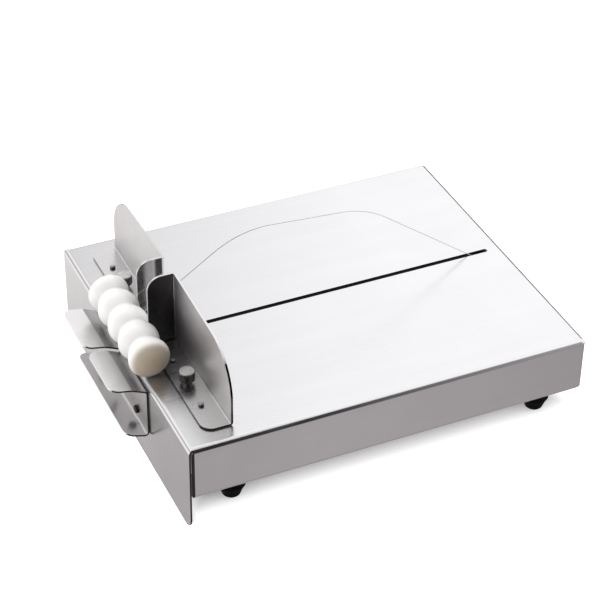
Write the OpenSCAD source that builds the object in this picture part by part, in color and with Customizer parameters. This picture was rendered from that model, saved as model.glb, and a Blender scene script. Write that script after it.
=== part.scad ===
// Wire cheese slicer: a folded steel board with a slot, a cutting wire that runs from an
// anchor under the slot's far end to a lobed grip, two guide brackets whose end walls run
// in the grip's grooves, and a cradle on the lip where the grip is parked.
// Built with X = 0 at the lip's outer face, Y = 0 at the slot and Z = 0 at the board's top,
// then moved to the middle of the bounding box's underside.

/* [Board] */
// Length of the board, along the slot
board_len = 352; // [320:1:420]
// Depth of the board, from front to rear
board_depth = 294; // [285:1:380]
// Thickness of the board's sheet
sheet_t = 1.5; // [1:0.1:2]
// Inside radius of the board's folds
fold_r = 2.5; // [1:0.1:3]
// Height of the front and rear walls, down to their flanges
wall_h = 50.5; // [46:0.5:60]
// Height of the lip that hooks over the counter's edge
lip_h = 82; // [76:0.5:95]
// Width of the open seams between the lip and the walls
seam_w = 0.9; // [0.5:0.1:3]
// Radius of the lower corners of the lip
lip_corner_r = 11; // [4:0.5:14]
// Width of the flanges turned in along the front and rear walls
flange_w = 28; // [26:1:36]
// Distance from the ends of those flanges to the walls' ends and far bends
flange_relief = 1; // [0.5:0.5:4]

/* [Slot] */
// Width of the slot
slot_w = 4.5; // [2:0.1:5.5]
// Distance from the slot's far end to the board's far edge
slot_margin = 13.5; // [11:0.5:16]
// How far the slot runs down the lip
slot_drop = 40; // [30:0.5:44]
// Clear width between the two rails under the slot
rail_gap = 16; // [14:0.5:20]
// Height of the slot rails
rail_h = 20; // [18:0.5:26]
// Width of the slot rails' welded flanges
rail_flange_w = 14; // [10:0.5:16]
// Thickness of the slot rails' sheet
rail_t = 1.5; // [1:0.1:2]
// Inside radius of the slot rails' folds
rail_fold_r = 1; // [0.8:0.1:2]
// Distance from the lip to the ends of the slot rails
rail_end_gap = 12; // [8:0.5:14]
// Distance from the board's far edge to the other ends of the slot rails
rail_far_gap = 6; // [5:0.5:9]

/* [Guide brackets] */
// Distance from the lip's face to the brackets' uprights
guide_x = 43.5; // [42:0.5:60]
// Clear width between the two end walls
guide_gap = 22; // [21:0.5:24]
// Distance from the slot to the far end of each bracket
guide_reach = 131; // [122:0.5:138]
// Height of the end walls
guide_h = 67.5; // [56:0.5:80]
// Width of the brackets' base flanges
guide_flange_w = 24.5; // [22:0.1:28]
// Width of the end walls that guide the grip
guide_rail_w = 24.5; // [21:0.1:26]
// Thickness of the brackets' sheet
guide_t = 1.8; // [1:0.1:2]
// Inside radius of the brackets' folds
guide_fold_r = 1; // [0.5:0.1:1.5]
// Fall of the upright's top edge towards its far end, in degrees
guide_fall = 3; // [0.5:0.5:5]
// Radius of the upright's upper far corner
guide_far_r = 40; // [20:0.5:48]
// Radius of the end wall's upper corner
guide_rail_r = 12; // [4:0.5:14]
// Radius of the base flange's far corner
guide_flange_r = 10; // [4:0.5:14]

/* [Bracket fixings] */
// Distance from the slot to each thumb screw
thumb_y = 71; // [66:0.5:80]
// Distance from the upright's face to the thumb screws and pins
fixing_inset = 14.7; // [12:0.1:15]
// Diameter of the thumb screw's head
thumb_head_d = 13; // [11:0.5:15]
// Diameter of the neck under the thumb screw's head
thumb_neck_d = 8; // [7:0.5:9]
// Height of that neck
thumb_neck_h = 4; // [2:0.5:6]
// Height of the thumb screw's head
thumb_head_h = 9; // [8:0.5:14]
// Number of grooves round the thumb screw's head
thumb_grooves = 40; // [24:2:48]
// Depth of those grooves
thumb_groove_depth = 0.35; // [0.2:0.05:0.5]
// Diameter of the thumb screw's thread
thumb_d = 5; // [4:0.5:6]
// Length of thread beyond the thumb screw's nut
thumb_tail = 2; // [1:0.5:4]
// Distance from the slot to the nearer locating pins
pin_near_y = 39.5; // [30:0.5:50]
// Distance from the slot to the farther locating pins
pin_far_y = 101; // [92:0.5:112]
// Diameter of the locating pins
pin_d = 4.8; // [3:0.1:5.5]
// How far the locating pins stand above the flange
pin_proud = 2.8; // [2:0.1:5]

/* [Cradle] */
// Length of the cradle along the lip
cradle_len = 118; // [100:1:140]
// Depth below the board's top at which the upper fold starts
cradle_top = 9; // [8:0.1:13]
// Depth below the board's top of the lower fold's underside
cradle_bottom = 51.5; // [48:0.1:58]
// Thickness of the cradle's sheet
cradle_t = 1.5; // [1:0.1:2]
// Inside radius of the cradle's folds
cradle_fold_r = 2; // [1:0.1:3]
// Rise of the upper flaps beside the lip, in degrees
flap_rise_near = 24; // [15:1:30]
// Rise of the upper flaps' outer part, in degrees
flap_rise_far = 12; // [5:1:13]
// Length of the upper flaps beside the lip
flap_near_len = 12; // [8:0.5:16]
// Length of the upper flaps' outer part
flap_far_len = 18; // [12:0.5:22]
// Rise of the lower flap, in degrees
tray_rise = 16; // [5:1:25]
// Length of the lower flap
tray_len = 17; // [14:0.5:24]
// Corner radius of the flaps
flap_corner_r = 8; // [4:0.5:10]
// Width of the gap for the wire between the upper flaps
flap_gap = 6; // [4:0.5:9]
// Distance from the slot to each cradle screw
cradle_screw_y = 35; // [25:0.5:45]
// Depth of the cradle screws below the board's top
cradle_screw_drop = 41.5; // [28:0.5:43]
// Diameter of the cradle screws' heads
cradle_head_d = 7; // [5:0.1:8]
// Height of the cradle screws' heads
cradle_head_h = 2; // [1.5:0.1:4]

/* [Feet] */
// Diameter of the feet at the flange
foot_top_d = 23.5; // [22:0.5:26]
// Diameter of the feet's waist, between the sole and the flare
foot_waist_d = 18; // [16:0.5:21]
// Diameter of the feet at the sole
foot_sole_d = 15; // [14:0.5:16]
// Height of the feet
foot_h = 18; // [15:0.5:20]
// Height of the waist above the sole
foot_waist_h = 5.2; // [4:0.1:6]
// Height of the flare's rim above the sole
foot_flare_h = 11; // [8:0.5:12]
// Edge chamfer of the feet
foot_edge = 1; // [0.5:0.1:2]
// Distance from the lip's face to the nearer feet
foot_lip_x = 41; // [28:0.5:60]
// Distance from the board's far edge to the farther feet
foot_far_x = 35.5; // [28:0.5:60]
// Distance from the front and rear faces to the feet
foot_y = 15.5; // [15:0.5:16]
// Diameter of the recess for the foot screw's head
foot_recess_d = 10; // [9.6:0.1:11]
// Depth of that recess
foot_recess = 7; // [5.5:0.1:8]

/* [Small screws and nuts] */
// Thread diameter of the foot, cradle and anchor screws
screw_d = 4; // [3:0.5:4]
// Diameter of the foot screws' heads
screw_head_d = 8; // [7:0.1:8.5]
// Height of the foot screws' heads
screw_head_h = 3; // [2:0.1:3.5]
// Width across flats of the small nuts
nut_af = 7; // [6.5:0.1:8]
// Height of the small nuts
nut_h = 3.2; // [2.4:0.1:4]
// Width across flats of the thumb screws' nuts
thumb_nut_af = 9; // [8:0.1:10]
// Height of the thumb screws' nuts
thumb_nut_h = 4; // [3:0.1:6]
// Outside diameter of the washers
washer_d = 9; // [8:0.1:9.4]
// Thickness of the washers
washer_t = 0.8; // [0.5:0.1:1.2]
// Thread that stands out beyond each small nut
screw_tail = 1.2; // [0.5:0.1:2]

/* [Grip and wire] */
// Largest radius of the grip's lobes
lobe_r = 17.2; // [14:0.1:18]
// Radius of the grip in its grooves
groove_r = 12.2; // [10:0.1:13]
// Rounding of the grooves between the lobes
groove_round = 2.8; // [2.4:0.1:5]
// Distance from lobe to lobe
lobe_pitch = 23.6; // [22.5:0.1:24.5]
// Radius of the grip's domed ends
end_r = 30; // [25:1:80]
// Radius of the rim round those ends
end_rim_r = 6.5; // [2:0.5:7]
// Number of lobes, an odd count so that the wire leaves the middle one
lobe_count = 5; // [3:2:7]
// Diameter of the cutting wire
wire_d = 0.6; // [0.5:0.1:1.2]
// Angle at which the wire leaves the grip, in degrees above level
wire_angle = 34; // [30:1:40]
// Straight wire from the grip's axis to the first bend
wire_lead = 91; // [80:1:100]
// Radius of the wire's two bends
wire_bend_r = 81; // [60:1:90]
// Length of the wire's upper run, between the bends
wire_top_len = 62; // [40:1:80]
// Fall of that run towards the anchor, in degrees
wire_top_fall = 4.3; // [0:0.1:8]
// Distance from the board's far edge to the wire's anchor
anchor_inset = 15; // [13:0.5:18]
// Depth of the anchor below the board's top
anchor_drop = 12; // [10:0.5:14]
// Length of the wire's eye terminal, from the anchor's centre
terminal_len = 13; // [10:0.5:13]
// Outside diameter of the terminal's eye and its spacers
terminal_d = 8; // [7:0.1:9]
// Diameter of the terminal's stem
stem_d = 1.6; // [1.5:0.1:2.1]
// Diameter of the stop crimped on the wire in the grip
stop_d = 3.6; // [3:0.1:4.5]
// Length of that stop
stop_len = 6; // [4:0.1:7]
// Diameter of the plug that closes the grip's bore
plug_d = 5; // [4:0.1:7]
// Length of the plug
plug_len = 3.6; // [2:0.1:4]

/* [Fits] */
// Gap all round a pin or thread in the hole that it turns or seats in
running = 0.05; // [0.02:0.01:0.1]
// Gap all round a screw in a plain hole
hole_play = 0.2; // [0.1:0.05:0.4]
// Gap between the grip and what it slides along or lies on
grip_play = 0.3; // [0.2:0.05:0.5]

/* [Hidden] */

$fn = 64;
// Overshoot of a cut past the face that it opens
over = 1;
// Largest turn of one step in the cradle's folds, in degrees
fold_step = 6;
// Small overlap where two shapes would only touch
lap = 0.01;
// Share of the flange's fold that the walls' unflanged ends leave open
end_share = 0.65;
// Share of the flare's height at which a foot is halfway out to its rim
flare_share = 0.6;

steel_c = "#c9cacc";
bright_c = "#d9d9da";
screw_c = "#8f9194";
dark_c = "#3b3c3f";
rubber_c = "#1b1b1c";
grip_c = "#f1f0ea";
wire_c = "#9a9da1";

// Board
fold_o = fold_r + sheet_t;
half_depth = board_depth / 2;
flat_half = half_depth - fold_o;
wall_x0 = sheet_t + seam_w;
bend_x = board_len - fold_o;
flange_z = fold_o - wall_h;
end_z = end_share * fold_o - wall_h;
lip_top_r = fold_o / 2;
slot_end_x = board_len - slot_margin;

// Slot rails and anchor
rail_o = rail_fold_r + rail_t;
rail_x0 = sheet_t + rail_end_gap;
rail_x1 = board_len - rail_far_gap;
rail_outer = rail_gap / 2 + rail_t;
anchor_x = board_len - anchor_inset;
eye_w = slot_w - 2 * hole_play;

// Guide brackets and their fixings
guide_o = guide_fold_r + guide_t;
guide_y0 = guide_gap / 2;
rail_edge_x = guide_x - guide_rail_w;
far_y = guide_reach - guide_far_r;
far_c = [far_y, guide_h - tan(guide_fall) * (far_y - guide_y0 - guide_o)
                - guide_far_r / cos(guide_fall)];
fixing_x = guide_x - fixing_inset;
pin_hole_d = pin_d + 2 * running;
thumb_hole_d = thumb_d + 2 * hole_play;
pin_head_d = 2 * pin_d;
pin_head_h = pin_d / 2;

// Cradle: one strip that runs in along the lower flap, up the web and out along the upper flaps
cradle_o = cradle_fold_r + cradle_t;
web_z0 = cradle_o - cradle_bottom;
cradle_runs = [tray_len, -cradle_top - web_z0, flap_near_len, flap_far_len];
cradle_turns = [90 + tray_rise, 90 - flap_rise_near, flap_rise_near - flap_rise_far];
tray_tip = [-cradle_o, web_z0] - cradle_o * heading(90 - tray_rise)
           - tray_len * heading(-tray_rise);
cradle_outer = cradle_side(0);
cradle_inner = cradle_side(cradle_t);
flap_tip = cradle_outer[len(cradle_outer) - 1];
cradle_x_min = cradle_inner[len(cradle_inner) - 1][0];

// Feet
foot_z = -wall_h;
sole_z = foot_z - foot_h;
screw_hole_d = screw_d + 2 * hole_play;
recess_z = sole_z + foot_recess;

// Grip: lobes and grooves are tangent arcs about an axis that lies along Y
lobe_half = lobe_pitch / 2;
groove_c = groove_r + groove_round;
groove_rise = groove_c - lobe_r;
lobe_round = (pow(groove_rise, 2) + pow(lobe_half, 2) - pow(groove_round, 2))
             / (2 * (groove_round - groove_rise));
lobe_c = lobe_r - lobe_round;
tangent_r = lobe_c + lobe_round * (groove_c - lobe_c) / (lobe_round + groove_round);
lobe_span = (lobe_count - 1) * lobe_pitch / 2;
end_rim_c = lobe_r - end_rim_r;
end_c = lobe_span - sqrt(pow(end_r - end_rim_r, 2) - pow(end_rim_c, 2));
rail_groove_r = max(groove_at(guide_y0), groove_at(guide_y0 + guide_t));
grip_x = rail_edge_x - rail_groove_r - grip_play;
grip_z = lobe_r + grip_play;
bore_d = wire_d + 2 * hole_play;
seat_s = -lobe_r + plug_len + stop_len + grip_play;
plug_seat_d = max(plug_d, stop_d) + 2 * running;

// Wire: a straight lead, a bend, the upper run, a second bend and a straight fall to the anchor
pin_c = [anchor_x, -anchor_drop];
bend_a0 = 90 + wire_angle;
bend_a1 = 90 - wire_top_fall;
bend_c1 = [grip_x, grip_z] + wire_lead * heading(bend_a0 - 90) - wire_bend_r * heading(bend_a0);
bend_c2 = bend_c1 + wire_top_len * heading(bend_a1 - 90);
pin_way = pin_c - bend_c2;
fall_len = sqrt(pin_way * pin_way - pow(wire_bend_r, 2));
bend_a2 = atan2(pin_way[1], pin_way[0]) + atan2(fall_len, wire_bend_r);
stem_dir = bend_a2 + 90;
ball_d = wire_d + 4 * lap;

// Whole
origin_x = (cradle_x_min + board_len) / 2;
origin_z = -lip_h;

// Unit vector in the slot's plane at angle a above level
function heading(a) = [cos(a), sin(a)];

// Radius of the grip in a groove at distance y from its middle
function groove_at(y) = groove_c - sqrt(pow(groove_round, 2) - pow(lobe_half - y, 2));

// Points along a folded strip that starts at p with heading a and bends left, at depth d from
// its right-hand face
function strip_side(t, r, runs, turns, d, p, a, i = 0) =
    let (q = p + runs[i] * heading(a), c = q + (r + t) * heading(a + 90),
         n = i < len(turns) ? ceil(turns[i] / fold_step) : 0)
    concat(
        i == 0 ? [p + d * heading(a + 90)] : [],
        i < len(turns)
            ? concat(
                [for (k = [0:n]) c - (r + t - d) * heading(a + 90 + turns[i] * k / n)],
                strip_side(t, r, runs, turns, d, c - (r + t) * heading(a + 90 + turns[i]),
                           a + turns[i], i + 1))
            : [q + d * heading(a + 90)]);

// Points along the cradle's section, at depth d from its outer face
function cradle_side(d) =
    strip_side(cradle_t, cradle_fold_r, cradle_runs, cradle_turns, d, tray_tip, -tray_rise);

module place() {
    translate([-origin_x, 0, -origin_z]) children();
}

// Extrude a section drawn in X and Z along Y, centred
module along_y(l) {
    rotate([90, 0, 0]) linear_extrude(l, center = true) children();
}

// Extrude a section drawn in Y and Z along X
module along_x(x0, x1) {
    translate([x0, 0, 0]) rotate([90, 0, 90]) linear_extrude(x1 - x0) children();
}

module both_sides() {
    children();
    mirror([0, 1, 0]) children();
}

// The waste outside a rounded corner at the origin, between the x and y edges
module corner_waste(r) {
    difference() {
        translate([-over, -over]) square(r + over);
        translate([r, r]) circle(r);
    }
}

module round_plate(size, r_lower, r_upper_right = 0, r_upper_left = 0) {
    difference() {
        square(size);
        if (r_lower > 0) {
            corner_waste(r_lower);
            translate([size[0], 0]) mirror([1, 0]) corner_waste(r_lower);
        }
        if (r_upper_right > 0)
            translate(size) rotate(180) corner_waste(r_upper_right);
        if (r_upper_left > 0)
            translate([0, size[1]]) mirror([0, 1]) corner_waste(r_upper_left);
    }
}

// A bend to the left in a strip of thickness t, starting along x
module bend2d(t, r, a) {
    k = 2 * (r + t);
    translate([0, r + t]) rotate(-90) intersection() {
        difference() {
            circle(r + t);
            circle(r);
        }
        polygon([[0, 0], [k, 0], k * heading(a / 2), k * heading(a)]);
    }
}

// A folded strip in section, with its thickness to the left of the way it runs
module strip2d(t, r, runs, turns, i = 0) {
    before = i > 0 ? lap : 0;
    after = i < len(turns) ? lap : 0;
    if (runs[i] > 0) translate([-before, 0]) square([before + runs[i] + after, t]);
    if (i < len(turns))
        translate([runs[i], 0]) {
            bend2d(t, r, turns[i]);
            if (i + 1 < len(runs))
                translate([0, r + t]) rotate(turns[i]) translate([0, -r - t])
                    strip2d(t, r, runs, turns, i + 1);
        }
}

module hex_nut(af, h, bore) {
    difference() {
        cylinder(h = h, d = af / cos(30), $fn = 6);
        translate([0, 0, -over]) cylinder(h = h + 2 * over, d = bore);
    }
}

module ring(h, d_out, d_in) {
    difference() {
        cylinder(h = h, d = d_out);
        translate([0, 0, -over]) cylinder(h = h + 2 * over, d = d_in);
    }
}

// A rod in the slot's plane from point p, at angle a above level
module slot_rod(p, a, l, d) {
    translate([p[0], 0, p[1]]) rotate([0, 90 - a, 0]) cylinder(h = l, d = d);
}

// Positions that several pieces share
module at_thumb_screws() {
    for (s = [-1, 1]) translate([fixing_x, s * thumb_y, 0]) children();
}

module at_pins() {
    for (s = [-1, 1], y = [pin_near_y, pin_far_y]) translate([fixing_x, s * y, 0]) children();
}

module at_cradle_screws() {
    for (s = [-1, 1])
        translate([0, s * cradle_screw_y, -cradle_screw_drop]) rotate([0, 90, 0]) children();
}

module at_foot(end, side) {
    x = end < 0 ? foot_lip_x : board_len - foot_far_x;
    translate([x, side * (half_depth - foot_y), 0]) children();
}

module at_feet() {
    for (end = [-1, 1], side = [-1, 1]) at_foot(end, side) children();
}

module at_anchor() {
    translate([anchor_x, 0, -anchor_drop]) rotate([-90, 0, 0]) children();
}

// The lip: a fold at the top and rounded lower corners
module lip() {
    intersection() {
        along_y(board_depth)
            mirror([1, 0]) translate([0, -lip_h]) rotate(90)
                strip2d(sheet_t, fold_r, [lip_h - fold_o], [90]);
        along_x(-over, fold_o + over)
            translate([-half_depth, -lip_h])
                round_plate([board_depth, lip_h], lip_corner_r, lip_top_r, lip_top_r);
    }
}

// The front, far and rear walls in plan, one strip with two bends
module walls2d() {
    translate([wall_x0, -half_depth])
        strip2d(sheet_t, fold_r, [bend_x - wall_x0, 2 * flat_half, bend_x - wall_x0], [90, 90]);
}

// Those walls, which stop above the flanges' undersides where no flange is turned in
module walls() {
    translate([0, 0, flange_z]) linear_extrude(-fold_o - flange_z) walls2d();
    translate([0, 0, end_z]) linear_extrude(flange_z - end_z) difference() {
        walls2d();
        translate([wall_x0 + flange_relief, -half_depth - over])
            square([bend_x - wall_x0 - 2 * flange_relief, board_depth + 2 * over]);
    }
}

// The fold at the top of the front wall and the flange turned in below it
module side_folds() {
    along_x(fold_o, bend_x)
        translate([-flat_half, 0]) rotate(180) strip2d(sheet_t, fold_r, [0], [90]);
    along_x(wall_x0 + flange_relief, bend_x - flange_relief)
        translate([-half_depth, flange_z]) rotate(-90)
            strip2d(sheet_t, fold_r, [0, flange_w - fold_o], [90]);
}

// The fold at the top of the far wall
module far_fold() {
    along_y(2 * flat_half)
        translate([bend_x, -sheet_t]) mirror([0, 1]) translate([0, -sheet_t])
            strip2d(sheet_t, fold_r, [0], [90]);
}

// The round corner where the folds of the front and far walls meet
module far_corner() {
    translate([bend_x, -flat_half, -fold_o]) intersection() {
        difference() {
            sphere(fold_o);
            sphere(fold_r);
        }
        translate([0, -2 * fold_o, 0]) cube(2 * fold_o);
    }
}

module slot_cut() {
    translate([-over, -slot_w / 2, -sheet_t - over])
        cube([slot_end_x - slot_w / 2 + over, slot_w, sheet_t + 2 * over]);
    translate([slot_end_x - slot_w / 2, 0, -sheet_t - over])
        cylinder(h = sheet_t + 2 * over, d = slot_w);
    translate([-over, -slot_w / 2, slot_w / 2 - slot_drop])
        cube([fold_o + over, slot_w, slot_drop]);
    translate([-over, 0, slot_w / 2 - slot_drop])
        rotate([0, 90, 0]) cylinder(h = sheet_t + 2 * over, d = slot_w);
}

module base_pan() {
    color(steel_c)
    difference() {
        union() {
            translate([fold_o, -flat_half, -sheet_t])
                cube([board_len - 2 * fold_o, 2 * flat_half, sheet_t]);
            lip();
            walls();
            far_fold();
            both_sides() {
                side_folds();
                far_corner();
            }
        }
        slot_cut();
        at_thumb_screws() translate([0, 0, -sheet_t - over])
            cylinder(h = sheet_t + 2 * over, d = thumb_hole_d);
        at_pins() translate([0, 0, -sheet_t - over])
            cylinder(h = sheet_t + 2 * over, d = pin_hole_d);
        at_cradle_screws() translate([0, 0, -over])
            cylinder(h = sheet_t + 2 * over, d = screw_hole_d);
        at_feet() translate([0, 0, foot_z - over])
            cylinder(h = sheet_t + 2 * over, d = screw_hole_d);
    }
}

module slot_rail() {
    difference() {
        along_x(rail_x0, rail_x1)
            translate([rail_gap / 2 + rail_flange_w, -sheet_t]) rotate(180)
                strip2d(rail_t, rail_fold_r, [rail_flange_w - rail_o, rail_h - rail_o], [90]);
        at_anchor() cylinder(h = rail_outer + over, d = screw_hole_d);
    }
}

module slot_rail_front() {
    color(steel_c) mirror([0, 1, 0]) slot_rail();
}

module slot_rail_rear() {
    color(steel_c) slot_rail();
}

// The waste above an upright's sloping top edge and outside its rounded far corner
module upright_waste() {
    r_out = guide_far_r + over;
    up = heading(90 - guide_fall);
    translate([guide_y0 + guide_o, guide_h]) rotate(-guide_fall)
        square([guide_reach, guide_far_r]);
    translate([lap, lap]) difference() {
        polygon([far_c, far_c + r_out * up, far_c + r_out * (up + [1, 0]), far_c + [r_out, 0]]);
        translate(far_c) circle(guide_far_r);
    }
}

module guide_bracket() {
    difference() {
        union() {
            translate([0, (guide_y0 + guide_o + guide_reach) / 2, 0])
                along_y(guide_reach - guide_y0 - guide_o)
                    translate([guide_x - guide_flange_w, 0])
                        strip2d(guide_t, guide_fold_r,
                                [guide_flange_w - guide_o, guide_h - guide_o], [90]);
            translate([guide_x - guide_o, guide_y0, 0])
                linear_extrude(guide_h) bend2d(guide_t, guide_fold_r, 90);
            translate([0, guide_y0 + guide_t / 2, 0]) along_y(guide_t)
                translate([rail_edge_x, 0])
                    round_plate([guide_rail_w - guide_o, guide_h], 0, 0, guide_rail_r);
        }
        along_x(guide_x - guide_o, guide_x + over) upright_waste();
        translate([guide_x - guide_flange_w, guide_reach, -over]) mirror([0, 1, 0])
            linear_extrude(guide_t + 2 * over) corner_waste(guide_flange_r);
        at_thumb_screws() translate([0, 0, -over])
            cylinder(h = guide_t + 2 * over, d = thumb_hole_d);
        at_pins() translate([0, 0, -over])
            cylinder(h = guide_t + 2 * over, d = pin_hole_d);
    }
}

module guide_bracket_front() {
    color(bright_c) mirror([0, 1, 0]) guide_bracket();
}

module guide_bracket_rear() {
    color(bright_c) guide_bracket();
}

// Domed pins with a head welded under the board
module locating_pins() {
    pin_l = sheet_t + guide_t + pin_proud;
    dome = pin_d / 5;
    color(screw_c)
    at_pins() translate([0, 0, -sheet_t]) {
        translate([0, 0, -pin_head_h]) cylinder(h = pin_head_h, d = pin_head_d);
        rotate_extrude()
            polygon([[0, 0], [pin_d / 2, 0], [pin_d / 2, pin_l - dome],
                     [pin_d / 2 - dome, pin_l], [0, pin_l]]);
    }
}

module thumb_screw(side) {
    r = thumb_head_d / 2;
    edge = 2 * thumb_groove_depth;
    tail = guide_t + sheet_t + thumb_nut_h + thumb_tail + running;
    color(bright_c)
    translate([fixing_x, side * thumb_y, guide_t + running]) {
        translate([0, 0, thumb_neck_h]) difference() {
            rotate_extrude()
                polygon([[0, 0], [r - edge, 0], [r, edge], [r, thumb_head_h - edge],
                         [r - edge, thumb_head_h], [0, thumb_head_h]]);
            for (i = [0:thumb_grooves - 1])
                rotate(360 * i / thumb_grooves) translate([r, 0, thumb_head_h / 2]) rotate(45)
                    cube([sqrt(2) * thumb_groove_depth, sqrt(2) * thumb_groove_depth,
                          thumb_head_h + 2 * over], center = true);
        }
        cylinder(h = thumb_neck_h + edge, d = thumb_neck_d);
        translate([0, 0, -tail]) cylinder(h = tail + edge, d = thumb_d);
    }
}

module thumb_screw_front() {
    thumb_screw(-1);
}

module thumb_screw_rear() {
    thumb_screw(1);
}

module thumb_screw_nuts() {
    color(screw_c)
    at_thumb_screws() translate([0, 0, -sheet_t - thumb_nut_h])
        hex_nut(thumb_nut_af, thumb_nut_h, thumb_d + 2 * running);
}

// The waste at one corner of a flap whose edge lies at x = 0, with the flap towards -x
module flap_waste() {
    translate([0, 0, -cradle_t - over]) linear_extrude(3 * cradle_t + 2 * over)
        mirror([1, 0]) translate([-lap, -lap]) corner_waste(flap_corner_r);
}

// Set children at the upper flaps' edge, with +x out along the flap
module at_flap_edge() {
    translate([flap_tip[0], 0, flap_tip[1]]) rotate([0, flap_rise_far - 180, 0]) children();
}

// Set children at the lower flap's edge, with +x out along the flap
module at_tray_edge() {
    translate([tray_tip[0], 0, tray_tip[1]]) rotate([0, tray_rise - 180, 0]) children();
}

module handle_cradle() {
    half = cradle_len / 2;
    points = concat(cradle_outer, [for (i = [len(cradle_inner) - 1:-1:0]) cradle_inner[i]]);
    color(bright_c)
    difference() {
        along_y(cradle_len) polygon(points);
        both_sides() {
            at_flap_edge() {
                translate([0, -half, 0]) flap_waste();
                translate([0, -flap_gap / 2, 0]) mirror([0, 1, 0]) flap_waste();
            }
            at_tray_edge() translate([0, -half, 0]) flap_waste();
        }
        translate([cradle_x_min - over, -flap_gap / 2, flap_gap / 2 - slot_drop])
            cube([over - cradle_x_min + over, flap_gap, slot_drop + lobe_r]);
        translate([-cradle_t - over, 0, flap_gap / 2 - slot_drop])
            rotate([0, 90, 0]) cylinder(h = cradle_t + 2 * over, d = flap_gap);
        at_cradle_screws() translate([0, 0, -cradle_t - over])
            cylinder(h = cradle_t + 2 * over, d = screw_hole_d);
    }
}

module cradle_screws() {
    shank = cradle_t + sheet_t + washer_t + nut_h + screw_tail;
    edge = cradle_head_h / 8;
    color(dark_c)
    at_cradle_screws() translate([0, 0, -cradle_t]) {
        rotate_extrude()
            polygon([[0, 0], [cradle_head_d / 2, 0], [cradle_head_d / 2, edge - cradle_head_h],
                     [cradle_head_d / 2 - edge, -cradle_head_h], [0, -cradle_head_h]]);
        cylinder(h = shank, d = screw_d);
    }
}

module cradle_washers() {
    color(screw_c)
    at_cradle_screws() translate([0, 0, sheet_t]) ring(washer_t, washer_d, screw_d + 2 * running);
}

module cradle_nuts() {
    color(screw_c)
    at_cradle_screws() translate([0, 0, sheet_t + washer_t])
        hex_nut(nut_af, nut_h, screw_d + 2 * running);
}

module foot() {
    r_sole = foot_sole_d / 2;
    r_waist = foot_waist_d / 2;
    r_top = foot_top_d / 2;
    r_flare = (r_waist + r_top) / 2;
    flare_mid_h = foot_waist_h + flare_share * (foot_flare_h - foot_waist_h);
    color(rubber_c)
    difference() {
        translate([0, 0, sole_z]) rotate_extrude()
            polygon([[0, 0], [r_sole - foot_edge, 0], [r_sole, foot_edge],
                     [r_waist, foot_waist_h], [r_flare, flare_mid_h], [r_top, foot_flare_h],
                     [r_top, foot_h - foot_edge], [r_top - foot_edge, foot_h], [0, foot_h]]);
        translate([0, 0, sole_z - over]) cylinder(h = foot_recess + over, d = foot_recess_d);
        translate([0, 0, sole_z]) cylinder(h = foot_h + over, d = screw_hole_d);
    }
}

module foot_front_left() {
    at_foot(-1, -1) foot();
}

module foot_front_right() {
    at_foot(1, -1) foot();
}

module foot_rear_left() {
    at_foot(-1, 1) foot();
}

module foot_rear_right() {
    at_foot(1, 1) foot();
}

module foot_screws() {
    shank = foot_h - foot_recess + washer_t + sheet_t + nut_h + screw_tail;
    edge = screw_head_h / 3;
    color(screw_c)
    at_feet() translate([0, 0, recess_z - washer_t]) {
        rotate_extrude()
            polygon([[0, 0], [screw_head_d / 2, 0], [screw_head_d / 2, edge - screw_head_h],
                     [screw_head_d / 2 - edge, -screw_head_h], [0, -screw_head_h]]);
        cylinder(h = shank, d = screw_d);
    }
}

module foot_washers() {
    color(screw_c)
    at_feet() translate([0, 0, recess_z - washer_t])
        ring(washer_t, washer_d, screw_d + 2 * running);
}

module foot_nuts() {
    color(screw_c)
    at_feet() translate([0, 0, foot_z + sheet_t]) hex_nut(nut_af, nut_h, screw_d + 2 * running);
}

module anchor_bolt() {
    head_h = 0.7 * screw_d;
    color(screw_c)
    at_anchor() translate([0, 0, -rail_outer]) {
        translate([0, 0, -head_h]) cylinder(h = head_h, d = nut_af / cos(30), $fn = 6);
        cylinder(h = 2 * rail_outer + nut_h + screw_tail, d = screw_d);
    }
}

// Two tubes that keep the wire's eye in the slot's plane
module anchor_spacers() {
    inner = eye_w / 2 + running;
    color(screw_c)
    for (s = [-1, 1]) at_anchor() mirror([0, 0, s < 0 ? 1 : 0]) translate([0, 0, inner])
        ring(rail_gap / 2 - inner, terminal_d, screw_d + 2 * running);
}

module anchor_nut() {
    color(screw_c)
    at_anchor() translate([0, 0, rail_outer]) hex_nut(nut_af, nut_h, screw_d + 2 * running);
}

// Eye on the anchor bolt with a stem that holds the end of the wire
module eye_terminal() {
    color(screw_c)
    difference() {
        union() {
            at_anchor() translate([0, 0, -eye_w / 2]) cylinder(h = eye_w, d = terminal_d);
            slot_rod(pin_c, stem_dir, terminal_len, stem_d);
        }
        at_anchor() translate([0, 0, -eye_w]) cylinder(h = 2 * eye_w, d = screw_d + 2 * running);
        slot_rod(pin_c + (terminal_d / 2) * heading(stem_dir), stem_dir,
                 terminal_len, wire_d + 2 * running);
    }
}

// One end of the grip's section: a rim and a dome that runs into it
module grip_end() {
    translate([end_rim_c, lobe_span]) circle(end_rim_r);
    intersection() {
        translate([0, end_c]) circle(end_r);
        polygon([[0, end_c], [0, end_c + 2 * end_r], [2 * end_rim_c, 2 * lobe_span - end_c]]);
    }
}

module grip_section() {
    difference() {
        union() {
            intersection() {
                union() for (i = [0:lobe_count - 1])
                    translate([lobe_c, i * lobe_pitch - lobe_span]) circle(lobe_round);
                translate([0, -lobe_span]) square([lobe_r + over, 2 * lobe_span]);
            }
            translate([0, -lobe_span]) square([tangent_r, 2 * lobe_span]);
            grip_end();
            mirror([0, 1]) grip_end();
        }
        for (i = [0:lobe_count - 2])
            translate([groove_c, (i + 0.5) * lobe_pitch - lobe_span]) circle(groove_round);
    }
}

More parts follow.
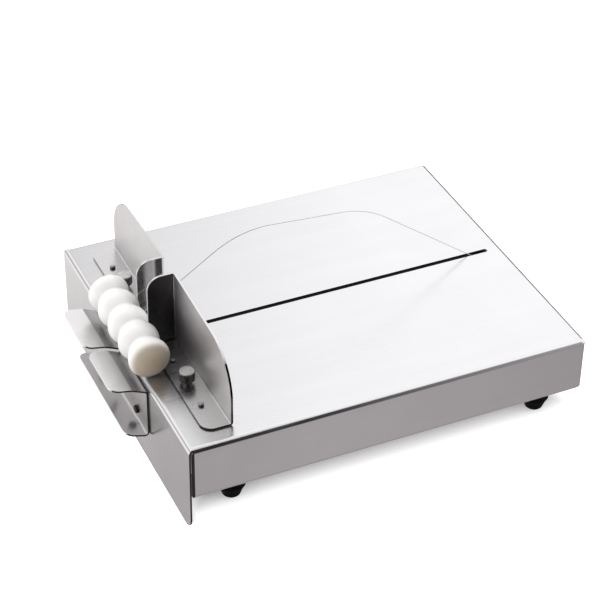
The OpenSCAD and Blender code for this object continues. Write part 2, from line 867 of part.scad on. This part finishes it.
// Set children at the grip's axis, with +z along the wire's bore
module at_grip_bore() {
    translate([grip_x, 0, grip_z]) rotate([0, 90 - wire_angle, 0]) children();
}

module handle_grip() {
    color(grip_c)
    difference() {
        translate([grip_x, 0, grip_z]) rotate([-90, 0, 0]) rotate_extrude() grip_section();
        at_grip_bore() {
            translate([0, 0, seat_s - over]) cylinder(h = 2 * lobe_r, d = bore_d);
            translate([0, 0, -lobe_r - over]) cylinder(h = seat_s + lobe_r + over, d = plug_seat_d);
        }
    }
}

module wire_stop() {
    color(screw_c)
    at_grip_bore() translate([0, 0, seat_s - stop_len]) ring(stop_len, stop_d, wire_d + 2 * running);
}

module grip_plug() {
    color(grip_c)
    at_grip_bore() translate([0, 0, seat_s - stop_len - plug_len])
        cylinder(h = plug_len, d = plug_d);
}

// A straight run of the wire from point p, with a ball at its start that joins it to a bend
module wire_run(p, a, l) {
    slot_rod(p + lap * heading(a), a, l - 2 * lap, wire_d);
    translate([p[0], 0, p[1]]) sphere(d = ball_d);
}

// A bend of the wire about centre c, between two angles, with a ball at its start
module wire_bend(c, a0, a1) {
    p = c + wire_bend_r * heading(a0);
    translate([c[0], 0, c[1]]) rotate([90, 0, 0]) rotate(a1) rotate_extrude(angle = a0 - a1)
        translate([wire_bend_r, 0]) circle(d = wire_d);
    translate([p[0], 0, p[1]]) sphere(d = ball_d);
}

module cutting_wire() {
    tail_s = seat_s - stop_len;
    end_gap = terminal_d / 2 + hole_play;
    grip_p = [grip_x, grip_z];
    color(wire_c)
    union() {
        slot_rod(grip_p + tail_s * heading(wire_angle), wire_angle, wire_lead - tail_s - lap, wire_d);
        wire_bend(bend_c1, bend_a0, bend_a1);
        wire_run(bend_c1 + wire_bend_r * heading(bend_a1), bend_a1 - 90, wire_top_len);
        wire_bend(bend_c2, bend_a1, bend_a2);
        wire_run(bend_c2 + wire_bend_r * heading(bend_a2), bend_a2 - 90, fall_len - end_gap);
    }
}

place() base_pan();
place() slot_rail_front();
place() slot_rail_rear();
place() guide_bracket_front();
place() guide_bracket_rear();
place() locating_pins();
place() thumb_screw_front();
place() thumb_screw_rear();
place() thumb_screw_nuts();
place() handle_cradle();
place() cradle_screws();
place() cradle_washers();
place() cradle_nuts();
place() foot_front_left();
place() foot_front_right();
place() foot_rear_left();
place() foot_rear_right();
place() foot_screws();
place() foot_washers();
place() foot_nuts();
place() anchor_bolt();
place() anchor_spacers();
place() anchor_nut();
place() eye_terminal();
place() handle_grip();
place() wire_stop();
place() grip_plug();
place() cutting_wire();
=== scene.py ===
import math

import bmesh
import bpy
from mathutils import Matrix, Vector


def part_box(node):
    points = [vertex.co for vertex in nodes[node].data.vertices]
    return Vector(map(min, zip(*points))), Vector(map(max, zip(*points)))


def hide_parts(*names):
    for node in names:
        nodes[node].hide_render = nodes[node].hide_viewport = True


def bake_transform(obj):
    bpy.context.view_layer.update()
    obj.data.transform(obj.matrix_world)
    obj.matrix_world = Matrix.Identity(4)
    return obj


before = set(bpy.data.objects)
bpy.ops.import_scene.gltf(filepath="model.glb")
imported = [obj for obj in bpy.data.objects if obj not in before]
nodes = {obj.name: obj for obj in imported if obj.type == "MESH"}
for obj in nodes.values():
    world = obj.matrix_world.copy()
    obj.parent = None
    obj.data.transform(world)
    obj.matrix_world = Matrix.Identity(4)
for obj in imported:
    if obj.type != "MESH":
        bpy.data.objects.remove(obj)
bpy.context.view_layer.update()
scene = bpy.context.scene


def middle(node):
    low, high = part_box(node)
    return (low + high) / 2


# Places taken from the frame, in metres

pan_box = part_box("base_pan")
lip_x = pan_box[0].x
board_z = pan_box[1].z
sole_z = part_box("foot_front_left")[0].z
wire_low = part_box("cutting_wire")[0]
grip_mid = middle("handle_grip")
bolt_mid = middle("anchor_bolt")


# Camera, at the photograph's viewing angle

CAMERA_PLACE = Vector((-0.57712, -1.24855, 1.09453))
CAMERA_RIGHT = Vector((0.911577, -0.410951, 0.012127))
CAMERA_DOWN = Vector((-0.235122, -0.545294, -0.804594))
CAMERA_AHEAD = Vector((0.337262, 0.730598, -0.593701))
CAMERA_LENS_MM = 121.539
CAMERA_SENSOR_MM = 36

camera_data = bpy.data.cameras.new("photo_camera")
camera_data.sensor_width = CAMERA_SENSOR_MM
camera_data.lens = CAMERA_LENS_MM
camera = bpy.data.objects.new("photo_camera", camera_data)
turn = Matrix((CAMERA_RIGHT, -CAMERA_DOWN, -CAMERA_AHEAD)).transposed().to_4x4()
camera.matrix_world = Matrix.Translation(CAMERA_PLACE) @ turn
scene.collection.objects.link(camera)
scene.camera = camera


# Shader helpers

NOISE_LOW = 0.3     # nearly all of a noise's values lie between these two
NOISE_HIGH = 0.7
SQUARE_ON = 0.7     # a face looks along an axis if its normal has more than this of that axis


class Shader:
    """A material's node tree, with short calls to add nodes and join them."""

    def __init__(self, name):
        self.material = bpy.data.materials.new(name)
        self.material.use_nodes = True
        self.tree = self.material.node_tree
        self.bsdf = self.tree.nodes["Principled BSDF"]
        self.coords = self.tree.nodes.new("ShaderNodeTexCoord")

    def add(self, kind, inputs=None, **settings):
        node = self.tree.nodes.new("ShaderNode" + kind)
        for key, value in settings.items():
            setattr(node, key, value)
        for key, value in (inputs or {}).items():
            if isinstance(value, bpy.types.NodeSocket):
                self.tree.links.new(value, node.inputs[key])
            else:
                node.inputs[key].default_value = value
        return node

    def place(self):
        """The X, Y and Z of a point, in metres."""
        return self.add("SeparateXYZ", {"Vector": self.coords.outputs["Object"]}).outputs

    def facing(self):
        """The X, Y and Z of a point's normal."""
        return self.add("SeparateXYZ", {"Vector": self.coords.outputs["Normal"]}).outputs

    def math(self, operation, a, b=0.0):
        return self.add("Math", {0: a, 1: b}, operation=operation).outputs[0]

    def sum(self, a, b):
        return self.math("ADD", a, b)

    def times(self, a, b):
        return self.math("MULTIPLY", a, b)

    def larger(self, a, b):
        return self.math("MAXIMUM", a, b)

    def below(self, value, limit):
        """1 where value is below limit, and 0 elsewhere."""
        return self.math("LESS_THAN", value, limit)

    def outside(self, value, limit):
        """1 where the size of value is above limit, and 0 elsewhere."""
        return self.math("GREATER_THAN", self.math("ABSOLUTE", value), limit)

    def spread(self, value, low, high, start=0.0, end=1.0):
        """value, from start to end, mapped to low to high."""
        node = self.add("MapRange", {"Value": value, "From Min": start, "From Max": end,
                                     "To Min": low, "To Max": high})
        return node.outputs["Result"]

    def even(self, noise, low=0.0, high=1.0):
        """A noise mapped so that it fills low to high."""
        return self.spread(noise, low, high, NOISE_LOW, NOISE_HIGH)

    def tint(self, share, low, high):
        """A colour between low and high."""
        node = self.add("ValToRGB", {"Fac": share})
        node.color_ramp.elements[0].color = (*low, 1)
        node.color_ramp.elements[1].color = (*high, 1)
        return node.outputs["Color"]

    def mix(self, share, a, b):
        """The number a where share is 0 and b where it is 1."""
        return self.add("Mix", {"Factor": share, "A": a, "B": b}).outputs["Result"]

    def mix_colour(self, share, a, b):
        """The colour a where share is 0 and b where it is 1."""
        return self.add("Mix", {0: share, 6: a, 7: b}, data_type="RGBA").outputs[2]

    def noise(self, scale=1.0, stretch=(1, 1, 1), detail=3.0, rough=0.55):
        """Noise per metre, drawn out along an axis where its stretch is small."""
        at = self.add("Mapping", {"Vector": self.coords.outputs["Object"], "Scale": stretch})
        node = self.add("TexNoise", {"Vector": at.outputs["Vector"], "Scale": scale,
                                     "Detail": detail, "Roughness": rough})
        return node.outputs["Fac"]

    def edges(self, radius, start=0.02, end=0.25):
        """1 along a piece's edges and 0 on its faces."""
        soft = self.add("Bevel", {"Radius": radius}, samples=4)
        plain = self.add("NewGeometry")
        same = self.add("VectorMath", {0: soft.outputs[0], 1: plain.outputs["Normal"]},
                        operation="DOT_PRODUCT")
        turned_by = self.math("SUBTRACT", 1.0, same.outputs["Value"])
        return self.spread(turned_by, 0, 1, start, end)

    def bump(self, height, distance, strength):
        node = self.add("Bump", {"Height": height, "Distance": distance, "Strength": strength})
        self.link(node.outputs["Normal"], "Normal")

    def link(self, output, socket):
        self.tree.links.new(output, self.bsdf.inputs[socket])

    def set(self, **values):
        for key, value in values.items():
            self.bsdf.inputs[key.replace("_", " ")].default_value = value


# Brushed sheet, and which of its edges are painted dark as shade

HAIR_ALONG = 24                 # brushing marks in a metre along the sheet
HAIR_ACROSS = 700               # and across it
BAND_ALONG = HAIR_ALONG / 8     # broader bands among the marks
BAND_ACROSS = HAIR_ACROSS / 12
HAIR_SHARE = 0.55               # share of the shade that the marks give; the bands give the rest
WORN_R = 0.0012                 # width of the rubbed edges
WORN_SHARE = 0.9
WORN_POLISH = 0.08              # how much smoother a rubbed edge is
GLOSS_SWING = 0.025             # how far clouds and marks each move the roughness
HAIR_DEPTH = 0.00004
# Colour of the painted dark reflection on the faces that look forward
FORWARD_SHADE_COLOUR = (0.02, 0.019, 0.018, 1)
# Colours of the painted shade on the marked edges
EDGE_SHADE_LOW = (0.03, 0.029, 0.029)
EDGE_SHADE_HIGH = (0.09, 0.087, 0.085)
CUT_ROUGH = 0.45


def brushed(name, low, high, rough, shaded_edges, relief=0.06, dim=0.0):
    """Satin sheet that was brushed along its length before it was trimmed to shape and folded.

    rough holds the roughness of the faces across X, across Y and across Z.
    The edge function that it is given, called with (shader, place, facing), gives 1 on the edges
    that are painted dark as shade and 0 elsewhere.
    dim is the share of painted dark reflection on the faces in front of the slot that look forward.
    """
    s = Shader(name)
    place = s.place()
    facing = s.facing()
    across_x = s.outside(facing["X"], SQUARE_ON)
    across_y = s.outside(facing["Y"], SQUARE_ON)
    along_x = s.noise(stretch=(HAIR_ALONG, HAIR_ACROSS, HAIR_ACROSS), detail=5, rough=0.65)
    along_y = s.noise(stretch=(HAIR_ACROSS, HAIR_ALONG, HAIR_ACROSS), detail=5, rough=0.65)
    hairs = s.mix(across_x, along_x, along_y)
    band = s.noise(stretch=(BAND_ALONG, BAND_ACROSS, BAND_ACROSS))
    cloud = s.noise(14, detail=4)
    worn = s.edges(WORN_R)

    shade = s.even(s.sum(s.times(hairs, HAIR_SHARE), s.times(band, 1 - HAIR_SHARE)))
    skin = s.tint(s.larger(shade, s.times(worn, WORN_SHARE)), low, high)
    # Painted dark reflection on the faces in front of the slot that look forward
    forward = s.times(s.below(facing["Y"], -SQUARE_ON), s.below(place["Y"], 0.0))
    skin = s.mix_colour(s.times(forward, dim), skin, FORWARD_SHADE_COLOUR)
    # Painted shade on the edges that the edge function marks
    edge_shade = shaded_edges(s, place, facing)
    s.link(s.mix_colour(edge_shade, skin, s.tint(hairs, EDGE_SHADE_LOW, EDGE_SHADE_HIGH)), "Base Color")

    level = s.mix(across_x, s.mix(across_y, rough[2], rough[1]), rough[0])
    swing = s.sum(*(s.even(noise, -GLOSS_SWING, GLOSS_SWING) for noise in (cloud, hairs)))
    gloss = s.math("SUBTRACT", s.sum(level, swing), s.times(worn, WORN_POLISH))
    s.link(s.larger(gloss, s.times(edge_shade, CUT_ROUGH)), "Roughness")
    s.bump(hairs, HAIR_DEPTH, relief)
    s.set(Metallic=1.0)
    return s.material


LIP_BAND = 0.0045       # the lip's edges and the wall ends beside them lie this near the lip's face
LIP_SKIN = 0.0018       # the lip itself lies within this
SLOT_BAND = 0.003       # the sides of the slot lie this near its middle
FLANGE_BAND = 0.00175   # a base flange's edges lie this near the board's top
FLANGE_FRONT_Y = -0.02  # the front flange's edges carry full painted shade up to here
FLANGE_REAR_Y = 0.03    # and the rear one's carry less painted shade from here
FLANGE_REAR_SHADE = 0.45
FLAT_ON = 0.5           # a flange's face lies flat if its normal has more than this of Z


def board_edge_shade(s, place, facing):
    """Painted shade on the lip's upright edges, the ends of the walls beside them and the sides of
    the slot.
    """
    at_lip = s.below(place["X"], lip_x + LIP_BAND)
    at_slot = s.below(s.math("ABSOLUTE", place["Y"]), SLOT_BAND)
    edge = s.times(s.outside(facing["Y"], SQUARE_ON), s.larger(at_lip, at_slot))
    wall_end = s.times(s.below(facing["X"], -SQUARE_ON),
                       s.math("GREATER_THAN", place["X"], lip_x + LIP_SKIN))
    return s.larger(edge, s.times(wall_end, at_lip))


def bracket_edge_shade(s, place, facing):
    """Painted shade on the edges of the base flanges, weaker on the rear one."""
    low = s.below(place["Z"], board_z + FLANGE_BAND)
    dark = s.spread(place["Y"], 1.0, FLANGE_REAR_SHADE, FLANGE_FRONT_Y, FLANGE_REAR_Y)
    upright = s.math("SUBTRACT", 1.0, s.outside(facing["Z"], FLAT_ON))
    return s.times(s.times(low, dark), upright)


def end_edge_shade(s, place, facing):
    """Painted shade on every face across Y: the cradle's two ends and the sides of the rails."""
    return s.outside(facing["Y"], SQUARE_ON)


# Other materials

def turned(name, low, high, rough, centre, pitch):
    """Bright metal with the rings that a lathe tool leaves, about an axis mirrored in Y, on top;
    faces that look up are painted lighter as a highlight and the side darker as shade."""
    s = Shader(name)
    place = s.place()
    x = s.math("SUBTRACT", place["X"], centre.x)
    y = s.math("SUBTRACT", s.math("ABSOLUTE", place["Y"]), abs(centre.y))
    out = s.math("SQRT", s.sum(s.times(x, x), s.times(y, y)))
    rings = s.math("SINE", s.times(out, 2 * math.pi / pitch))
    grit = s.noise(420, detail=4)
    # Painted light: faces that look up are lightened and the side is darkened
    top = s.spread(s.facing()["Z"], 0, 1, start=0.3, end=0.8)
    shade = s.sum(s.spread(rings, -0.1, 0.1, start=-1), s.even(grit, -0.12, 0.12))
    s.link(s.tint(s.sum(shade, s.spread(top, 0.15, 0.8)), low, high), "Base Color")
    gloss = s.even(grit, rough - 0.04, rough + 0.06)
    s.link(s.sum(gloss, s.spread(rings, -0.03, 0.03, start=-1)), "Roughness")
    s.bump(s.sum(s.times(rings, 0.5), grit), distance=0.00005, strength=0.2)
    s.set(Metallic=1.0)
    return s.material


def plain_metal(name, low, high, rough):
    """Bright small hardware with faint handling marks."""
    s = Shader(name)
    fine = s.noise(260, detail=4)
    stain = s.noise(60)
    worn = s.edges(0.0004)
    shade = s.even(s.sum(s.times(fine, 0.5), s.times(stain, 0.5)))
    s.link(s.tint(s.larger(shade, worn), low, high), "Base Color")
    s.link(s.even(fine, rough - 0.08, rough + 0.08), "Roughness")
    s.bump(fine, distance=0.00004, strength=0.4)
    s.set(Metallic=1.0)
    return s.material


GRIP_END_START = 0.046      # the painted tan shade on the grip's ends begins this far from its middle
GRIP_END_FULL = 0.052


def ivory(name):
    """Moulded ivory plastic with a soft gloss, with painted tan shade on its two ends."""
    s = Shader(name)
    cloud = s.noise(38, detail=4)
    fine = s.noise(900)
    looks_out = s.spread(s.math("ABSOLUTE", s.facing()["Y"]), 0, 1, start=0.2)
    far_out = s.spread(s.math("ABSOLUTE", s.place()["Y"]), 0, 1, GRIP_END_START, GRIP_END_FULL)
    plain_ivory = s.tint(s.even(cloud), (0.83, 0.83, 0.815), (0.88, 0.88, 0.865))
    end_shade = s.tint(s.even(cloud), (0.56, 0.47, 0.34), (0.64, 0.55, 0.42))
    # Painted shade: the end faces that look along the grip are tinted tan
    s.link(s.mix_colour(s.times(looks_out, far_out), plain_ivory, end_shade), "Base Color")
    s.link(s.sum(s.even(cloud, 0.30, 0.38), s.even(fine, -0.03, 0.03)), "Roughness")
    s.bump(fine, distance=0.00005, strength=0.25)
    s.set(IOR=1.49, Subsurface_Weight=0.15, Subsurface_Scale=0.004,
          Subsurface_Radius=(1.0, 0.95, 0.85), Coat_Weight=0.08, Coat_Roughness=0.25)
    return s.material


def rubber(name):
    """Matt black rubber with dust in its pores."""
    s = Shader(name)
    pores = s.noise(800, detail=4, rough=0.7)
    dust = s.spread(s.noise(90), 0, 0.6, start=0.4, end=0.75)
    worn = s.edges(0.0008)
    shade = s.sum(dust, s.times(worn, 0.3))
    s.link(s.tint(shade, (0.0015, 0.0015, 0.0015), (0.007, 0.007, 0.0068)), "Base Color")
    s.link(s.even(pores, 0.58, 0.8), "Roughness")
    s.bump(pores, distance=0.00012, strength=0.5)
    s.set(Specular_IOR_Level=0.05)
    return s.material


def blackened(name):
    """Black oxide on a screw, rubbed bare along its edges."""
    s = Shader(name)
    fine = s.noise(500, detail=4)
    worn = s.edges(0.0004, start=0.05, end=0.4)
    shade = s.sum(s.spread(fine, 0, 0.25, start=0.35, end=0.7), s.times(worn, 0.5))
    s.link(s.tint(shade, (0.012, 0.012, 0.014), (0.16, 0.155, 0.15)), "Base Color")
    s.link(s.even(fine, 0.34, 0.52), "Roughness")
    s.bump(fine, distance=0.00004, strength=0.4)
    s.set(Metallic=0.7)
    return s.material


def drawn_wire(name):
    """Bright drawn wire, with the die's faint lines along it."""
    s = Shader(name)
    lines = s.noise(stretch=(60, 3500, 900))
    s.link(s.tint(s.even(lines), (0.58, 0.58, 0.59), (0.76, 0.76, 0.77)), "Base Color")
    s.link(s.even(lines, 0.28, 0.42), "Roughness")
    s.bump(lines, distance=0.00002, strength=0.3)
    s.set(Metallic=1.0)
    return s.material


FLOOR_GLOW = 0.65           # strength of the light that the floor gives off in the open
SHADE_INSIDE = -0.03        # the floor is dark this far inside the shade's outline
SHADE_RIM = -0.004          # and fully lit from here outwards


def matt_floor(name, low, high, shade):
    """A lit floor, dark in the shade of the box given by its two corners."""
    s = Shader(name)
    place = s.place()
    beyond = []
    for axis, a, b in zip("XY", *shade):
        off = s.math("ABSOLUTE", s.math("SUBTRACT", place[axis], (a + b) / 2))
        beyond.append(s.math("SUBTRACT", off, (b - a) / 2))
    light = s.spread(s.larger(*beyond), 0.0, FLOOR_GLOW, SHADE_INSIDE, SHADE_RIM)
    s.link(light, "Emission Strength")
    s.link(s.tint(s.noise(3), low, high), "Base Color")
    s.set(Roughness=0.9, Specular_IOR_Level=0.1)
    return s.material


# Materials for the nodes

looks = {
    brushed("board_steel", low=(0.61, 0.605, 0.61), high=(0.645, 0.64, 0.645),
            rough=(0.25, 0.18, 0.25), shaded_edges=board_edge_shade, relief=0.04):
        ["base_pan"],
    # Painted shade: the rails under the slot are nearly black so that the slot looks dark
    brushed("rail_shade_steel", low=(0.05, 0.05, 0.05), high=(0.10, 0.10, 0.10),
            rough=(0.4, 0.4, 0.4), shaded_edges=end_edge_shade):
        ["slot_rail_front", "slot_rail_rear"],
    # dim paints a dark reflection on the front bracket's forward faces
    brushed("bracket_steel", low=(0.61, 0.60, 0.60), high=(0.65, 0.64, 0.64),
            rough=(0.45, 0.13, 0.28), shaded_edges=bracket_edge_shade, dim=0.84):
        ["guide_bracket_front", "guide_bracket_rear"],
    brushed("cradle_steel", low=(0.61, 0.60, 0.60), high=(0.65, 0.64, 0.64),
            rough=(0.3, 0.3, 0.3), shaded_edges=end_edge_shade):
        ["handle_cradle"],
    turned("turned_steel", low=(0.16, 0.15, 0.145), high=(0.86, 0.85, 0.84), rough=0.32,
           centre=middle("thumb_screw_front"), pitch=0.0011):
        ["thumb_screw_front", "thumb_screw_rear"],
    turned("pin_steel", low=(0.05, 0.05, 0.05), high=(0.66, 0.66, 0.655), rough=0.34,
           centre=middle("locating_pins"), pitch=0.0009):
        ["locating_pins"],
    plain_metal("hardware_steel", low=(0.40, 0.40, 0.41), high=(0.60, 0.60, 0.61), rough=0.34):
        ["thumb_screw_nuts", "cradle_washers", "cradle_nuts", "foot_screws", "foot_washers",
         "foot_nuts", "anchor_bolt", "anchor_spacers", "anchor_nut", "eye_terminal", "wire_stop"],
    blackened("dark_screw"):
        ["cradle_screws"],
    rubber("black_rubber"):
        ["foot_front_left", "foot_front_right", "foot_rear_left", "foot_rear_right"],
    ivory("ivory_plastic"):
        ["handle_grip", "grip_plug"],
}
for material, names in looks.items():
    for name in names:
        mesh = nodes[name].data
        mesh.materials.clear()
        mesh.materials.append(material)


# Cutting wire: a straight lead, a bend, the upper run, a second bend and a straight fall

WIRE_D = 0.0006
WIRE_ANGLE = 34         # degrees that the lead rises from the grip
WIRE_LEAD = 0.091
WIRE_BEND_R = 0.081
WIRE_TOP_LEN = 0.062
WIRE_TOP_FALL = 4.3     # degrees that the upper run falls
LEAD_STEPS = 24
BEND_STEPS = 24
TOP_STEPS = 12
FALL_STEPS = 36
WIRE_SIDES = 10
SIDEWAYS = Vector((0, 1, 0))


def heading(degrees):
    a = math.radians(degrees)
    return Vector((math.cos(a), 0, math.sin(a)))


def arc(centre, start, end):
    """Points on a bend after its first, between two headings from its centre."""
    return [centre + WIRE_BEND_R * heading(start + (end - start) * i / BEND_STEPS)
            for i in range(1, BEND_STEPS + 1)]


def run(start, end, steps):
    """Points on a straight stretch after its first."""
    return [start.lerp(end, i / steps) for i in range(1, steps + 1)]


def wire_path():
    """Points from inside the grip, over the arch, to the eye under the slot."""
    anchor = Vector((bolt_mid.x, grip_mid.y, bolt_mid.z))
    lead = heading(WIRE_ANGLE)
    lead_end = grip_mid + WIRE_LEAD * lead
    lead_start = grip_mid - (grip_mid.x - wire_low.x) / lead.x * lead
    bend_start = 90 + WIRE_ANGLE
    top_angle = 90 - WIRE_TOP_FALL
    near_centre = lead_end - WIRE_BEND_R * heading(bend_start)
    far_centre = near_centre + WIRE_TOP_LEN * heading(-WIRE_TOP_FALL)
    way = anchor - far_centre
    fall = math.sqrt(way.length_squared - WIRE_BEND_R ** 2)
    bend_end = math.degrees(math.atan2(way.z, way.x) + math.atan2(fall, WIRE_BEND_R))
    fall_start = far_centre + WIRE_BEND_R * heading(bend_end)
    fall_dir = heading(bend_end - 90)
    fall_end = fall_start + fall_dir * ((fall_start.z - wire_low.z) / -fall_dir.z)
    path = [lead_start]
    path += run(lead_start, lead_end, LEAD_STEPS)
    path += arc(near_centre, bend_start, top_angle)
    path += run(path[-1], far_centre + WIRE_BEND_R * heading(top_angle), TOP_STEPS)
    path += arc(far_centre, top_angle, bend_end)
    path += run(path[-1], fall_end, FALL_STEPS)
    return path


def placed(name, bm):
    """The mesh as an object in the scene."""
    mesh = bpy.data.meshes.new(name)
    bm.to_mesh(mesh)
    bm.free()
    made = bpy.data.objects.new(name, mesh)
    scene.collection.objects.link(made)
    return made


def tube(name, path, diameter, sides):
    """A closed round tube along a path that lies in a plane across Y."""
    bm = bmesh.new()
    turns = [2 * math.pi * k / sides for k in range(sides)]
    rings = []
    for i, point in enumerate(path):
        ahead = (path[min(i + 1, len(path) - 1)] - path[max(i - 1, 0)]).normalized()
        up = SIDEWAYS.cross(ahead)
        outward = [math.cos(t) * up + math.sin(t) * SIDEWAYS for t in turns]
        rings.append([bm.verts.new(point + diameter / 2 * way) for way in outward])
    for a, b in zip(rings, rings[1:]):
        for k in range(sides):
            bm.faces.new((a[k], a[(k + 1) % sides], b[(k + 1) % sides], b[k]))
    bm.faces.new(rings[0][::-1])
    bm.faces.new(rings[-1])
    bmesh.ops.recalc_face_normals(bm, faces=bm.faces)
    for face in bm.faces:
        face.smooth = True
    return placed(name, bm)


wire_points = wire_path()
wire = tube("wire_strand", wire_points, WIRE_D, WIRE_SIDES)
wire.data.materials.append(drawn_wire("wire_steel"))
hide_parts("cutting_wire")
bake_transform(wire)


# Worktop that the feet stand on and the lip hooks over

WORKTOP_REACH = 6       # metres to the front, the rear and the far side
WORKTOP_DEPTH = 3
WORKTOP_RIM_R = 0.002
LIP_GAP = 0.004         # from the lip's outer face to the worktop's edge


def worktop():
    bm = bmesh.new()
    bmesh.ops.create_cube(bm, size=1)
    low = Vector((lip_x + LIP_GAP, -WORKTOP_REACH, -WORKTOP_DEPTH))
    high = Vector((WORKTOP_REACH, WORKTOP_REACH, sole_z))
    for v in bm.verts:
        v.co = Vector([a + (b - a) * (c + 0.5) for a, b, c in zip(low, high, v.co)])
    rim = [e for e in bm.edges if all(v.co.x < 0 and v.co.z > 0 for v in e.verts)]
    bmesh.ops.bevel(bm, geom=rim, offset=WORKTOP_RIM_R, segments=4, affect="EDGES", profile=0.5)
    return placed("worktop", bm)


floor = worktop()
floor.data.materials.append(
    matt_floor("pale_worktop", low=(0.83, 0.83, 0.83), high=(0.87, 0.87, 0.87), shade=pan_box))
floor.visible_glossy = False


# Soft studio light: bright behind, above and at both ends, and dim towards the camera

world = bpy.data.worlds.new("studio")
scene.world = world
world.use_nodes = True
tree = world.node_tree
sky = tree.nodes.new("ShaderNodeTexCoord").outputs["Generated"]


def glow(aim, start, full):
    """0 to 1 over the sky, as the cosine between a direction and aim rises from start to full."""
    near = tree.nodes.new("ShaderNodeVectorMath")
    near.operation = "DOT_PRODUCT"
    near.inputs[1].default_value = Vector(aim).normalized()
    tree.links.new(sky, near.inputs[0])
    rise = tree.nodes.new("ShaderNodeMapRange")
    rise.interpolation_type = "SMOOTHSTEP"
    rise.inputs["From Min"].default_value = start
    rise.inputs["From Max"].default_value = full
    tree.links.new(near.outputs["Value"], rise.inputs["Value"])
    return rise.outputs["Result"]


def lobe(under, aim, start, full, colour):
    """colour laid over what is there already, round the direction aim."""
    node = tree.nodes.new("ShaderNodeMix")
    node.data_type = "RGBA"
    tree.links.new(glow(aim, start, full), node.inputs[0])
    for socket, value in ((node.inputs[6], under), (node.inputs[7], colour)):
        if isinstance(value, bpy.types.NodeSocket):
            tree.links.new(value, socket)
        else:
            socket.default_value = (*value, 1)
    return node.outputs[2]


FAR = (1, 0, 0)
UP = (0, 0, 1)
UPPER_BASE = (0.54, 0.525, 0.54)
LOWER_BASE = (0.475, 0.446, 0.45)
FRONT_BASE = (0.004, 0.004, 0.004)

# The dark room behind the camera, lighter to the far side
front = lobe(FRONT_BASE, FAR, start=0.34, full=0.48, colour=(0.62, 0.61, 0.62))

# Above: the far side and the ceiling, which the board's top mirrors, and a glow behind the brackets
upper = lobe(UPPER_BASE, FAR, start=0.14, full=0.40, colour=(1.62, 1.61, 1.63))
upper = lobe(upper, (0.20, 0.42, 0.885), start=0.88, full=0.96, colour=(1.45, 1.45, 1.46))
upper = lobe(upper, (-0.30, 0.72, 0.63), start=0.90, full=0.98, colour=(1.45, 1.44, 1.44))
upper = lobe(upper, (0.0, -0.966, 0.259), start=0.60, full=0.84, colour=front)

# Below: what the lip and the uprights, the far fold and the front wall mirror
lower = lobe(LOWER_BASE, (-0.3, 0.9, -0.3), start=0.915, full=0.975, colour=(1.32, 1.285, 1.285))
lower = lobe(lower, (0.70, 0.65, -0.30), start=0.80, full=0.93, colour=(0.26, 0.25, 0.25))
lower = lobe(lower, (0.335, -0.66, -0.67), start=0.990, full=0.9998, colour=(0.61, 0.582, 0.592))
lower = lobe(lower, (0.1, -0.95, -0.05), start=0.81, full=0.93, colour=front)

# Both, with a dark strip past the far rear corner and a bright side to the left
both = lobe(lower, UP, start=-0.12, full=0.02, colour=upper)
both = lobe(both, (0.66, 0.73, 0.10), start=0.93, full=0.98, colour=(0.12, 0.12, 0.12))
both = lobe(both, (-0.85, 0.35, -0.25), start=0.76, full=0.95, colour=(1.55, 1.53, 1.52))
tree.links.new(both, tree.nodes["Background"].inputs["Color"])
tree.nodes["Background"].inputs["Strength"].default_value = 1.0

FILL_COLOUR = (1, 0.995, 0.985)


def softbox(name, place, aim, size, watts):
    """A fill light that metal doesn't mirror."""
    data = bpy.data.lights.new(name, "AREA")
    data.shape = "RECTANGLE"
    data.size, data.size_y = size
    data.energy = watts
    data.color = FILL_COLOUR
    light = bpy.data.objects.new(name, data)
    light.location = place
    light.rotation_mode = "QUATERNION"
    light.rotation_quaternion = (Vector(aim) - Vector(place)).to_track_quat("-Z", "Y")
    light.visible_camera = False
    light.visible_glossy = False
    scene.collection.objects.link(light)


softbox("front_fill", place=(0.2, -2.2, 1.0), aim=(0.05, 0, 0.05), size=(2.4, 1.2), watts=5)
softbox("left_fill", place=(-2.2, -0.2, 0.0), aim=(-0.15, 0, -0.1), size=(2.4, 1.6), watts=24)
softbox("top_fill", place=(0.3, 0.6, 2.2), aim=(0.05, 0, 0.05), size=(2.0, 2.0), watts=22)

scene.view_settings.view_transform = "Standard"
